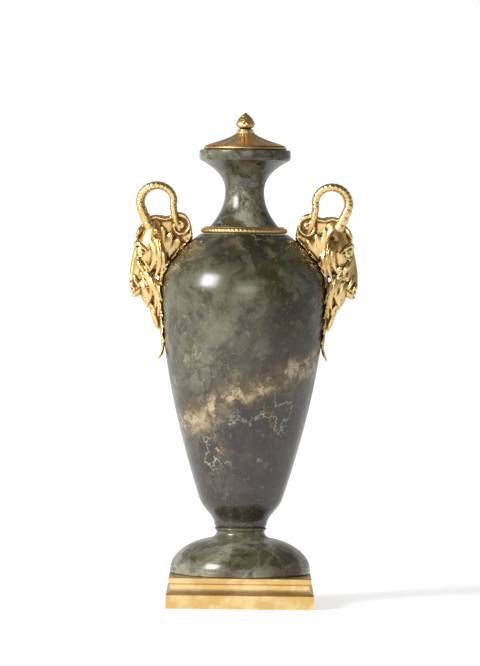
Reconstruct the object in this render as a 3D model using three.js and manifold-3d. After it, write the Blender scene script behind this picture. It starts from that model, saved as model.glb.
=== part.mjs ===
// A mantel urn in turned marble with gilt-bronze mounts: a moulded square plinth, a domed foot,
// a hollow tapering body, a waisted neck bored right through, a lift-off lid with a bud finial,
// and two goat-mask handles whose horns rise in a loop beside the neck.
// Millimetres, +Z up, origin in the middle of the plinth's underside; the handles lie along X.
import * as THREE from "three";
import { mergeVertices } from "three/addons/utils/BufferGeometryUtils.js";
import Module from "manifold-3d";

const wasm = await Module();
wasm.setup();

// Driving dimensions
const GAP = 0.3; // clearance between pieces that touch
const SIDES = 32; // facets round the large turned pieces
const plinthSize = { half: 67.3, fascia: 13, shelf: 1.6, neckHalf: 62.6, topHalf: 64.8, height: 28 };
const footSize = { radius: 64, band: 4, stem: 22, stemHeight: 66, height: 70.4, capRadius: 24 };
const bodySize = { cupRadius: 39, cupHeight: 99, radius: 76.3, widest: 286, mouth: 40, top: 339 };
const wall = 11; // marble left round the hollow
const opening = 20; // radius of the hole in the body's top
const bore = 12.5; // radius of the hole through the neck
const neckSize = { base: 36, waist: 17.8, waistHeight: 378, lip: 41.8, lipHeight: 406.5, top: 416 };
const collarSize = { radius: 38.6, height: 6.4 };
const lidSize = { radius: 38, edge: 2.4, crown: 8.4, height: 16.5, spigot: 20.5, spigotDepth: 3 };
const finialSize = { stem: 5.6, bulb: 8, height: 16.9, lobes: 8 };
const loop = { centre: 80, height: 367.3, radius: 15.4, horn: 4.2, spread: 11 };
const headWidth = 14.5;

const marble = { color: 0x6b6a58, roughness: 0.28, metalness: 0 };
const giltBronze = { color: 0xc9a35c, roughness: 0.34, metalness: 1 };

// Helpers

function point(radius, height) {
  return new THREE.Vector2(radius, height);
}

// Points along a cubic curve from a to d, without the first one when it goes on from another curve.
function bend(a, b, c, d, steps, goesOn = false) {
  const points = new THREE.CubicBezierCurve(a, b, c, d).getPoints(steps);
  return goesOn ? points.slice(1) : points;
}

function turned(points, sides = SIDES) {
  return new THREE.LatheGeometry(points, sides).rotateX(Math.PI / 2);
}

function toSolid(geometry) {
  const bare = new THREE.BufferGeometry();
  bare.setAttribute("position", geometry.getAttribute("position"));
  bare.setIndex(geometry.index);
  const merged = mergeVertices(bare, 1e-3);
  const vertProperties = merged.attributes.position.array;
  const triVerts = new Uint32Array(merged.index.array);
  return new wasm.Manifold(new wasm.Mesh({ numProp: 3, vertProperties, triVerts }));
}

function toGeometry(solid) {
  const mesh = solid.getMesh();
  const geometry = new THREE.BufferGeometry();
  geometry.setAttribute("position", new THREE.BufferAttribute(mesh.vertProperties, 3));
  geometry.setIndex(new THREE.BufferAttribute(mesh.triVerts, 1));
  const faceted = geometry.toNonIndexed();
  faceted.computeVertexNormals();
  return faceted;
}

function joined(geometries) {
  return geometries.map(toSolid).reduce((whole, piece) => whole.add(piece));
}

// Moves every vertex of a geometry to where place(x, y, z) puts it.
function reshape(geometry, place) {
  const position = geometry.getAttribute("position");
  for (let i = 0; i < position.count; i++) {
    const moved = place(position.getX(i), position.getY(i), position.getZ(i));
    position.setXYZ(i, moved.x, moved.y, moved.z);
  }
  return geometry;
}

// A tapering limb along a route of stations. Each station is [x, y, z, half width, half depth]:
// the width lies across the route and level, the depth at right angles to both.
function limb(stations, sides = 10, steps = 14) {
  const route = new THREE.CatmullRomCurve3(stations.map((s) => new THREE.Vector3(s[0], s[1], s[2])));
  const girth = new THREE.CatmullRomCurve3(stations.map((s) => new THREE.Vector3(s[3], s[4], 0)));
  const level = new THREE.Vector3(0, 1, 0);
  return reshape(new THREE.CylinderGeometry(1, 1, 1, sides, steps), (x, y, z) => {
    const t = 0.5 - y;
    const size = girth.getPoint(t);
    const along = route.getTangent(t);
    const across = level.clone().addScaledVector(along, -along.dot(level)).normalize();
    const deep = new THREE.Vector3().crossVectors(along, across);
    return route.getPoint(t).addScaledVector(across, x * size.x).addScaledVector(deep, z * size.y);
  });
}

// The urn's skin

const sideCurve = new THREE.CubicBezierCurve(
  point(bodySize.cupRadius, bodySize.cupHeight),
  point(bodySize.cupRadius + 18, bodySize.cupHeight + 56),
  point(bodySize.radius - 3.4, bodySize.widest - 68),
  point(bodySize.radius, bodySize.widest),
);
const shoulderCurve = new THREE.CubicBezierCurve(
  point(bodySize.radius, bodySize.widest),
  point(bodySize.radius, bodySize.widest + 22),
  point(bodySize.radius - 16, bodySize.top - 15),
  point(bodySize.mouth, bodySize.top),
);

// The body's skin at a distance along its profile from the widest line, up the shoulder or,
// when the distance is negative, down the side: the point and the way that it faces.
function skin(distance) {
  const curve = distance < 0 ? sideCurve : shoulderCurve;
  const share = distance / curve.getLength();
  const t = distance < 0 ? 1 + share : share;
  const tangent = curve.getTangentAt(t);
  return { at: curve.getPointAt(t), facing: point(tangent.y, -tangent.x) };
}

// The outer profile of the body from its foot joint to its mouth, grown by a margin.
function bodyOutline(margin) {
  const bottom = footSize.height + GAP;
  const cup = bend(
    point(footSize.capRadius, bottom + 1.5),
    point(footSize.capRadius + 1, bottom + 12),
    point(bodySize.cupRadius - 4, bodySize.cupHeight - 14),
    point(bodySize.cupRadius, bodySize.cupHeight),
    5,
  );
  const outline = [...cup, ...sideCurve.getPoints(6).slice(1), ...shoulderCurve.getPoints(6).slice(1)];
  return outline.map((p) => point(p.x + margin, p.y + margin * (p.y > bodySize.widest ? 1 : 0)));
}

// The hollow follows the skin at the wall's thickness, from under the mouth to a rounded floor.
function hollowOutline() {
  const top = shoulderCurve.getLength() - 12;
  const bottom = 9 - sideCurve.getLength();
  const rows = 8;
  const inside = Array.from({ length: rows + 1 }, (_, i) => {
    const { at, facing } = skin(top + ((bottom - top) * i) / rows);
    return at.addScaledVector(facing, -wall);
  });
  const corner = inside.at(-1);
  const floor = corner.y - 7;
  return [...inside, point(corner.x - 9, floor + 1), point(0, floor)];
}

function body() {
  const bottom = footSize.height + GAP;
  return turned([
    point(0, bottom),
    point(footSize.capRadius - 1.2, bottom),
    ...bodyOutline(0),
    point(opening, bodySize.top),
    point(opening, bodySize.top - wall - 3),
    ...hollowOutline(),
  ]);
}

// The marble below the body

function foot() {
  const bottom = plinthSize.height + GAP;
  const edge = bottom + footSize.band;
  const dome = bend(
    point(footSize.radius, edge),
    point(footSize.radius, edge + 12),
    point(footSize.radius - 15, footSize.stemHeight - 10),
    point(footSize.stem + 9, footSize.stemHeight - 6.5),
    6,
  );
  const stem = bend(
    dome.at(-1),
    point(footSize.stem + 2, footSize.stemHeight - 5.5),
    point(footSize.stem, footSize.stemHeight - 3),
    point(footSize.stem, footSize.stemHeight),
    3,
    true,
  );
  return turned([
    point(0, bottom),
    point(footSize.radius + 0.4, bottom),
    point(footSize.radius + 0.4, edge),
    ...dome,
    ...stem,
    point(footSize.capRadius, footSize.height - 2.4),
    point(footSize.capRadius, footSize.height),
    point(0, footSize.height),
  ]);
}

// A square piece whose sides follow a profile of [half width, height] points.
function squareMoulding(profile) {
  const quarter = Math.PI / 4;
  const points = profile.map(([half, height]) => point(half * Math.SQRT2, height));
  return new THREE.LatheGeometry(points, 4).rotateY(quarter).rotateX(Math.PI / 2);
}

function plinth() {
  const { half, fascia, shelf, neckHalf, topHalf, height } = plinthSize;
  const hollow = 8;
  const cove = Array.from({ length: 6 }, (_, i) => {
    const turn = (i / 5) * (Math.PI / 2);
    const reach = half - shelf - neckHalf;
    return [neckHalf + reach * (1 - Math.sin(turn)), fascia + 1 + hollow * (1 - Math.cos(turn))];
  });
  return squareMoulding([
    [0, 0],
    [half, 0],
    [half, fascia - 1],
    [half - 1, fascia],
    ...cove,
    [topHalf - 1, fascia + 1 + hollow],
    [topHalf, fascia + 2 + hollow],
    [topHalf, height],
    [0, height],
  ]);
}

// The marble and gilt above the body

function neck() {
  const { base, waist, waistHeight, lip, lipHeight, top } = neckSize;
  const bottom = bodySize.top + GAP;
  const lower = bend(
    point(base, bottom + 1),
    point(base - 7, bottom + 9.5),
    point(waist, waistHeight - 18),
    point(waist, waistHeight),
    6,
  );
  const upper = bend(
    point(waist, waistHeight),
    point(waist, waistHeight + 13),
    point(lip - 15, lipHeight - 7.5),
    point(lip - 1, lipHeight),
    6,
    true,
  );
  const mouthRadius = lidSize.spigot + GAP;
  const outside = [
    ...lower,
    ...upper,
    point(lip, lipHeight + 1.6),
    point(lip, top - 2),
    point(lip - 1.6, top),
    point(mouthRadius, top),
  ];
  const throat = bend(
    point(mouthRadius, top - lidSize.spigotDepth - 1),
    point(mouthRadius - 3, top - 9),
    point(bore, waistHeight + 20),
    point(bore, waistHeight + 12),
    3,
  );
  const inside = [...throat, point(bore, waistHeight - 14), point(opening, bottom)];
  return turned([point(base, bottom), ...outside, ...inside, point(base, bottom)], 28);
}

// A ring that rests on the shoulder and clasps the bottom of the neck.
function collar() {
  const { radius, height } = collarSize;
  const bottom = bodySize.top + GAP;
  const inner = neckSize.base + GAP;
  const swell = Array.from({ length: 4 }, (_, i) => {
    const turn = (i / 3 - 0.5) * Math.PI;
    return point(radius - 0.6 + 2.1 * Math.cos(turn), bottom + 2.6 + 2.1 * Math.sin(turn));
  });
  return turned([
    point(inner, bottom),
    point(radius - 0.6, bottom),
    ...swell,
    point(inner + 0.9, bottom + height - 1),
    point(inner + 0.3, bottom + height),
    point(inner, bottom + height),
    point(inner, bottom),
  ]);
}

function lid() {
  const { radius, edge, crown, height, spigot, spigotDepth } = lidSize;
  const seat = neckSize.top + GAP;
  const slope = bend(
    point(radius - 1, seat + edge + 0.9),
    point(radius - 12, seat + edge + 4.2),
    point(crown + 5.5, seat + height - 7),
    point(crown, seat + height - 1.5),
    6,
  );
  return turned([
    point(0, seat - spigotDepth),
    point(spigot - 0.8, seat - spigotDepth),
    point(spigot, seat - spigotDepth + 0.8),
    point(spigot, seat),
    point(radius, seat),
    point(radius, seat + edge),
    ...slope,
    point(crown, seat + height),
    point(0, seat + height),
  ], 28);
}

function finial() {
  const { stem, bulb, height, lobes } = finialSize;
  const bottom = neckSize.top + GAP + lidSize.height + GAP;
  const budHeight = bottom + 3;
  const bud = bend(
    point(stem, budHeight),
    point(bulb + 3.6, budHeight + 1),
    point(bulb + 0.6, budHeight + 8),
    point(2, bottom + height - 1.2),
    6,
  );
  const profile = [
    point(0, bottom),
    point(stem + 2, bottom),
    point(stem + 2, bottom + 1.4),
    ...bud,
    point(0, bottom + height),
  ];
  return reshape(turned(profile, lobes * 3), (x, y, z) => {
    const groove = 1 - 0.09 * (z > budHeight + 1) * (0.5 + 0.5 * Math.cos(lobes * Math.atan2(y, x)));
    return new THREE.Vector3(x * groove, y * groove, z);
  });
}

// The handles, made on the +X side

// A leaf laid on the body's skin between two distances along its profile. Its edge is scalloped
// towards the tip, its rib and its curled tip stand proud, and its back keeps the gap to the marble.
function leaf({ from, to, halfWidth, thickness, lobes, curl }) {
  const blade = new THREE.BoxGeometry(2, 1, 1, 4, lobes * 2);
  return reshape(blade, (x, y, z) => {
    const share = 0.5 - y;
    const { at, facing } = skin(from + (to - from) * share);
    const taper = Math.sqrt(Math.sin(Math.PI * (0.16 + 0.81 * share)));
    const scallop = 1 - 0.22 * Math.sin(Math.PI * lobes * share) ** 2;
    const width = halfWidth * taper * scallop;
    const rib = 0.45 + 0.55 * (1 - x * x);
    const tip = curl * Math.exp(-(((share - 0.86) / 0.1) ** 2));
    const proud = GAP + 0.1 + (z > 0 ? (thickness + tip) * rib : 0);
    const angle = (Math.sign(from - to) * x * width) / at.x;
    const radius = at.x + facing.x * proud;
    return new THREE.Vector3(
      radius * Math.cos(angle),
      radius * Math.sin(angle),
      at.y + facing.y * proud,
    );
  });
}

// One horn: up the outer side of the loop, over its top and down the inner side to the shoulder.
function horn(side) {
  const { centre, height, radius, spread } = loop;
  const arch = Array.from({ length: 7 }, (_, i) => {
    const turn = (-15 + 35 * i) * (Math.PI / 180);
    const apart = spread - 3.5 * Math.cos(turn) ** 2;
    const thick = loop.horn - 0.1 * i;
    return [
      centre + radius * Math.cos(turn),
      side * apart,
      height + radius * Math.sin(turn),
      thick,
      thick,
    ];
  });
  return limb([
    [centre + 4, side * 6, height - 28, 5.4, 5.4],
    [centre + 10, side * 6.5, height - 16, 5, 5],
    ...arch,
    [centre - radius - 1.5, side * 6, height - 17, 4, 4.2],
    [centre - radius - 6, side * 5, height - 27, 4, 4.4],
  ], 6, 14);
}

function head() {
  const skull = limb([
    [76, 0, 350, 5, 4],
    [80.5, 0, 345, 10.5, 9.5],
    [83.5, 0, 336, headWidth - 1, 12],
    [86.3, 0, 326, headWidth, 13],
    [89.8, 0, 313, headWidth - 3.5, 13],
    [94.2, 0, 300, headWidth - 6, 10.6],
    [96.6, 0, 290, headWidth - 6, 8],
    [97.2, 0, 284, headWidth - 7.5, 5.6],
    [96.8, 0, 281, 3, 2.6],
  ], 10, 9);
  const throat = limb([
    [70, 0, 312, 13, 16],
    [80, 0, 312, 12, 14],
    [89, 0, 308, 7, 8],
  ], 8, 2);
  return [skull, throat];
}

function ear(side) {
  return limb([
    [79, side * 9, 338, 3, 5],
    [75, side * 17, 335, 2.4, 6],
    [73, side * 25, 328, 2.2, 5.2],
    [73, side * 31, 319, 1.2, 1.6],
  ], 6, 5);
}

function beard() {
  return limb([
    [87.5, 0, 293, 7, 10.5],
    [83, 0, 281, 7.5, 10.5],
    [78, 0, 270, 7, 6.5],
    [76.5, 0, 259, 6, 5],
    [75, 0, 248, 3.5, 3.4],
  ], 7, 5);
}

// The web of metal between the horns' feet, the back of the head and the shoulder.
function bracket() {
  const outline = new THREE.Shape();
  outline.moveTo(46, 326);
  outline.lineTo(50, 343);
  outline.quadraticCurveTo(57, 346, 59.4, 356);
  outline.quadraticCurveTo(70, 352, 76, 355);
  outline.quadraticCurveTo(84, 358, 90, 352);
  outline.lineTo(86, 300);
  outline.lineTo(60, 300);
  const thickness = 16;
  const settings = { depth: thickness, bevelEnabled: false, curveSegments: 5 };
  const block = new THREE.ExtrudeGeometry(outline, settings);
  return block.translate(0, 0, -thickness / 2).rotateX(Math.PI / 2);
}

function handle() {
  const shoulderLeaf = leaf({ from: 16, to: 62, halfWidth: 21, thickness: 4, lobes: 4, curl: 1.5 });
  const sideLeaf = leaf({ from: 24, to: -62, halfWidth: 25, thickness: 4, lobes: 5, curl: 5 });
  const parts = [shoulderLeaf, sideLeaf, bracket(), ...head(), beard()];
  for (const side of [-1, 1]) {
    parts.push(horn(side), ear(side));
  }
  const clearance = turned([point(0, 60), ...bodyOutline(GAP), point(0, bodySize.top + GAP)]);
  return toGeometry(joined(parts).subtract(toSolid(clearance)));
}

// The urn

function piece(name, geometry, look) {
  const mesh = new THREE.Mesh(geometry, new THREE.MeshStandardMaterial(look));
  mesh.name = name;
  return mesh;
}

const urn = new THREE.Group();
urn.add(piece("plinth", plinth(), giltBronze));
urn.add(piece("foot", foot(), marble));
urn.add(piece("body", body(), marble));
urn.add(piece("collar_ring", collar(), giltBronze));
urn.add(piece("neck", neck(), marble));
urn.add(piece("lid", lid(), giltBronze));
urn.add(piece("finial", finial(), giltBronze));

const handleShape = handle();
urn.add(piece("handle_right", handleShape, giltBronze));
const handleLeft = piece("handle_left", handleShape.clone(), giltBronze);
handleLeft.scale.x = -1;
urn.add(handleLeft);

export default urn;
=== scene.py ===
import math
import random

import bmesh
import bpy
import numpy as np
from mathutils import Matrix, Vector
from mathutils.geometry import interpolate_bezier


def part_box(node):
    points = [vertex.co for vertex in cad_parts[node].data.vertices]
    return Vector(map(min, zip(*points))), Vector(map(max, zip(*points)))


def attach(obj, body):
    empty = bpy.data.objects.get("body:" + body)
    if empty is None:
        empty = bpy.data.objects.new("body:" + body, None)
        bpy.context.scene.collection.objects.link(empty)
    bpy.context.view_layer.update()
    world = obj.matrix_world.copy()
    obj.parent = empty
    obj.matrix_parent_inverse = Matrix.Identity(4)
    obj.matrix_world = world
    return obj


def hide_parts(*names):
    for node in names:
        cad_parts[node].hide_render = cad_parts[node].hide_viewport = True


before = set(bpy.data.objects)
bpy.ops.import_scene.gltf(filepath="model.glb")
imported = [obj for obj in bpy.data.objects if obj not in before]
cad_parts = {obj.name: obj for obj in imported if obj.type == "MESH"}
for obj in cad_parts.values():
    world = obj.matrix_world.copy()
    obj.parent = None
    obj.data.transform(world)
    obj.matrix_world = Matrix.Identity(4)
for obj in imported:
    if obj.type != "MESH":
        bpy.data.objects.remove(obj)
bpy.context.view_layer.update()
mm = 0.001
body = "root"


# Tools for making pieces

def bend(a, b, c, d, steps):
    # points of one bezier stretch in the (radius, height) plane, in millimetres
    knots = [Vector((p[0], p[1], 0)) for p in (a, b, c, d)]
    return [(p.x, p.y) for p in interpolate_bezier(*knots, steps + 1)]


def roundCorner(centre, radius, start, end, steps=5):
    # a quarter round or less, for the worn edges of turned pieces, angles in degrees
    angles = [math.radians(start + (end - start) * i / steps) for i in range(steps + 1)]
    return [(centre[0] + radius * math.cos(a), centre[1] + radius * math.sin(a)) for a in angles]


def turn(profile, steps=160, closed=False):
    # a profile of (radius, height) points in millimetres, spun round the upright axis
    bm = bmesh.new()
    verts = [bm.verts.new((r * mm, 0, z * mm)) for r, z in profile]
    edges = [bm.edges.new(pair) for pair in zip(verts, verts[1:])]
    if closed:
        edges.append(bm.edges.new((verts[-1], verts[0])))
    bmesh.ops.spin(
        bm, geom=verts + edges, cent=(0, 0, 0), axis=(0, 0, 1),
        angle=2 * math.pi, steps=steps, use_merge=True,
    )
    bmesh.ops.remove_doubles(bm, verts=bm.verts, dist=1e-6)
    bmesh.ops.recalc_face_normals(bm, faces=bm.faces)
    return bm


def routeAt(stations, t):
    # a smooth curve through rows of numbers, t from 0 to 1
    last = len(stations) - 1
    s = min(max(t, 0.0), 1.0) * last
    i = min(int(s), last - 1)
    f = s - i
    before, here, there, after = (stations[min(max(k, 0), last)] for k in range(i - 1, i + 3))
    return [
        0.5 * (2 * q + (r - p) * f + (2 * p - 5 * q + 4 * r - w) * f ** 2 + (3 * q - p - 3 * r + w) * f ** 3)
        for p, q, r, w in zip(before, here, there, after)
    ]


def absorb(bm, part):
    # adds a finished part to a larger mesh
    mesh = bpy.data.meshes.new("part")
    part.to_mesh(mesh)
    part.free()
    bm.from_mesh(mesh)
    bpy.data.meshes.remove(mesh)


def tube(bm, around, along, place):
    # a sheet rolled up lengthwise: u runs round it, v along it, and open ends are filled
    part = bmesh.new()
    sheet = bmesh.ops.create_grid(part, x_segments=around, y_segments=along, size=0.5)["verts"]
    for v in sheet:
        v.co = Vector(place(v.co.x + 0.5, v.co.y + 0.5)) * mm
    bmesh.ops.remove_doubles(part, verts=part.verts, dist=1e-7)
    rims = [e for e in part.edges if e.is_boundary]
    if rims:
        bmesh.ops.holes_fill(part, edges=rims, sides=0)
    bmesh.ops.recalc_face_normals(part, faces=part.faces)
    absorb(bm, part)


def limb(bm, stations, around=16, along=24, level=(0, 1, 0), swell=None):
    # a tapering limb through stations of x, y, z, half width and half depth in millimetres
    level = Vector(level)

    def place(u, v):
        x, y, z, halfWidth, halfDepth = routeAt(stations, v)
        ahead = Vector(routeAt(stations, min(v + 0.01, 1))[:3])
        behind = Vector(routeAt(stations, max(v - 0.01, 0))[:3])
        way = (ahead - behind).normalized()
        across = (level - way * way.dot(level)).normalized()
        deep = way.cross(across)
        grow = swell(u, v) if swell else 1
        a = 2 * math.pi * u
        offset = across * (math.cos(a) * halfWidth * grow) + deep * (math.sin(a) * halfDepth * grow)
        return Vector((x, y, z)) + offset

    tube(bm, around, along, place)


def newPiece(bm, name, material, nodes, sharp=40):
    # a finished mesh becomes a piece that rides on the urn and stands for its CAD nodes
    mesh = bpy.data.meshes.new(name)
    bm.to_mesh(mesh)
    bm.free()
    piece = bpy.data.objects.new(name, mesh)
    bpy.context.scene.collection.objects.link(piece)
    mesh.materials.append(material)
    mesh.shade_smooth()
    mesh.set_sharp_from_angle(angle=math.radians(sharp))
    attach(piece, body)
    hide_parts(*nodes)
    return piece


def meshArrays(mesh):
    mesh.update()
    count = len(mesh.vertices)
    co = np.zeros(count * 3)
    normals = np.zeros(count * 3)
    mesh.vertices.foreach_get("co", co)
    mesh.vertex_normals.foreach_get("vector", normals)
    return co.reshape(-1, 3), normals.reshape(-1, 3)


def markHollows(mesh, reach):
    # a point attribute that is over 0.5 on high parts and under 0.5 in hollows, which the gilding uses for
    # burnish with painted highlights and for patina with painted shade
    co, normals = meshArrays(mesh)
    count = len(co)
    ends = np.zeros(len(mesh.edges) * 2, np.int64)
    mesh.edges.foreach_get("vertices", ends)
    a, b = ends.reshape(-1, 2).T
    degree = np.maximum(np.bincount(a, minlength=count) + np.bincount(b, minlength=count), 1)

    def smoothed(field, rounds):
        for _ in range(rounds):
            total = np.zeros_like(field)
            for k in range(field.shape[1]):
                total[:, k] += np.bincount(a, field[b, k], count) + np.bincount(b, field[a, k], count)
            field = total / degree[:, None]
        return field

    value = np.zeros(count)
    for rounds in reach:
        soft = smoothed(co, rounds)
        bulge = ((co - soft) * normals).sum(1)
        value += bulge / (np.percentile(np.abs(bulge), 90) + 1e-9) / len(reach)
    value = smoothed(value[:, None], 1)[:, 0]
    layer = mesh.attributes.new("relief", "FLOAT", "POINT")
    layer.data.foreach_set("value", np.clip(0.5 + 0.5 * value, 0, 1).astype(np.float32))


# Tools for making materials

def addNode(tree, kind, inputs=None, **settings):
    node = tree.nodes.new(kind)
    for key, value in settings.items():
        setattr(node, key, value)
    for key, value in (inputs or {}).items():
        if isinstance(value, bpy.types.NodeSocket):
            tree.links.new(value, node.inputs[key])
        else:
            node.inputs[key].default_value = value
    return node


def mathNode(tree, operation, *values, clamp=False):
    node = addNode(tree, "ShaderNodeMath", dict(enumerate(values)), operation=operation, use_clamp=clamp)
    return node.outputs[0]


def mixColour(tree, factor, a, b):
    return addNode(tree, "ShaderNodeMix", {0: factor, 6: a, 7: b}, data_type="RGBA").outputs[2]


def stain(tree, colour, mask, share, shade):
    # lays a share of one shade over a colour, where the mask is
    return mixColour(tree, mathNode(tree, "MULTIPLY", mask, share), colour, shade)


def ramp(tree, value, low, high):
    # 0 at low and 1 at high, eased at both ends
    node = addNode(
        tree, "ShaderNodeMapRange", {0: value, 1: low, 2: high, 3: 0.0, 4: 1.0},
        interpolation_type="SMOOTHSTEP", clamp=True,
    )
    return node.outputs[0]


def noiseNode(tree, vector, scale, detail=4, roughness=0.55):
    inputs = {"Vector": vector, "Scale": scale, "Detail": detail, "Roughness": roughness}
    return addNode(tree, "ShaderNodeTexNoise", inputs)


def newMaterial(name):
    material = bpy.data.materials.new(name)
    material.use_nodes = True
    tree = material.node_tree
    shader = tree.nodes["Principled BSDF"]
    return material, tree, shader


def newGroup(name, inputs, outputs):
    group = bpy.data.node_groups.new(name, "ShaderNodeTree")
    for label, kind, value in inputs:
        socket = group.interface.new_socket(label, in_out="INPUT", socket_type=kind)
        if value is not None:
            socket.default_value = value
    for label, kind in outputs:
        group.interface.new_socket(label, in_out="OUTPUT", socket_type=kind)
    return group, group.nodes.new("NodeGroupInput"), group.nodes.new("NodeGroupOutput")


def makeWarpGroup():
    # moves a pattern's coordinates about, so that nothing in the stone runs straight
    group, enter, leave = newGroup(
        "stoneWarp",
        [("Vector", "NodeSocketVector", None), ("Scale", "NodeSocketFloat", 9.0),
         ("Amount", "NodeSocketFloat", 0.03)],
        [("Vector", "NodeSocketVector")],
    )
    field = noiseNode(group, enter.outputs["Vector"], enter.outputs["Scale"], 5, 0.6)
    centred = addNode(group, "ShaderNodeVectorMath", {0: field.outputs["Color"], 1: (0.5, 0.5, 0.5)},
                      operation="SUBTRACT")
    scaled = addNode(group, "ShaderNodeVectorMath", {0: centred.outputs[0], "Scale": enter.outputs["Amount"]},
                     operation="SCALE")
    moved = addNode(group, "ShaderNodeVectorMath", {0: enter.outputs["Vector"], 1: scaled.outputs[0]},
                    operation="ADD")
    group.links.new(moved.outputs[0], leave.inputs["Vector"])
    return group


def makeVeinGroup():
    # thin wandering lines where a noise field crosses its middle, broken up here and there
    group, enter, leave = newGroup(
        "stoneVeins",
        [("Vector", "NodeSocketVector", None), ("Scale", "NodeSocketFloat", 12.0),
         ("Width", "NodeSocketFloat", 0.02), ("Breaks", "NodeSocketFloat", 0.5)],
        [("Mask", "NodeSocketFloat")],
    )
    field = noiseNode(group, enter.outputs["Vector"], enter.outputs["Scale"], 6, 0.62)
    middle = mathNode(group, "ABSOLUTE", mathNode(group, "SUBTRACT", field.outputs["Fac"], 0.5))
    away = mathNode(group, "DIVIDE", middle, enter.outputs["Width"])
    line = mathNode(group, "SUBTRACT", 1.0, away, clamp=True)
    patch = noiseNode(group, enter.outputs["Vector"], 7.0, 3)
    shown = ramp(group, patch.outputs["Fac"], enter.outputs["Breaks"],
                 mathNode(group, "ADD", enter.outputs["Breaks"], 0.12))
    group.links.new(mathNode(group, "MULTIPLY", line, shown), leave.inputs["Mask"])
    return group


def makeGiltWearAndShadeGroup():
    # where gilding is burnished and painted bright as a highlight on high parts, and where it is darkened in
    # the hollows by patina and painted shade
    group, enter, leave = newGroup(
        "giltWearAndShade",
        [("Vector", "NodeSocketVector", None), ("Relief", "NodeSocketFloat", 0.5)],
        [("BurnishAndHighlight", "NodeSocketFloat"), ("PatinaAndShade", "NodeSocketFloat"), ("Grain", "NodeSocketFloat"),
         ("Cloud", "NodeSocketFloat")],
    )
    cloud = noiseNode(group, enter.outputs["Vector"], 55.0, 4, 0.6)
    fine = noiseNode(group, enter.outputs["Vector"], 900.0, 3, 0.7)
    mottle = mathNode(group, "MULTIPLY", mathNode(group, "SUBTRACT", cloud.outputs["Fac"], 0.5), 0.35)
    relief = mathNode(group, "ADD", enter.outputs["Relief"], mottle)
    group.links.new(ramp(group, relief, 0.56, 0.86), leave.inputs["BurnishAndHighlight"])
    group.links.new(ramp(group, relief, 0.46, 0.16), leave.inputs["PatinaAndShade"])
    group.links.new(fine.outputs["Fac"], leave.inputs["Grain"])
    group.links.new(cloud.outputs["Fac"], leave.inputs["Cloud"])
    return group


stoneWarp = makeWarpGroup()
stoneVeins = makeVeinGroup()
giltWearAndShade = makeGiltWearAndShadeGroup()


def useGroup(tree, group, inputs):
    return addNode(tree, "ShaderNodeGroup", inputs, node_tree=group)


# The two finishes of the urn
marbleLook = {
    "dark": (0.016, 0.013, 0.006, 1),
    "olive": (0.042, 0.037, 0.014, 1),
    "greenGrey": (0.120, 0.118, 0.072, 1),
    "paleGrey": (0.27, 0.265, 0.195, 1),
    "brown": (0.036, 0.022, 0.008, 1),
    "violet": (0.030, 0.022, 0.021, 1),
    "cream": (0.46, 0.35, 0.19, 1),
    "rust": (0.16, 0.085, 0.03, 1),
    "white": (0.42, 0.40, 0.31, 1),
    "roughness": 0.2,
}


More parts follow.
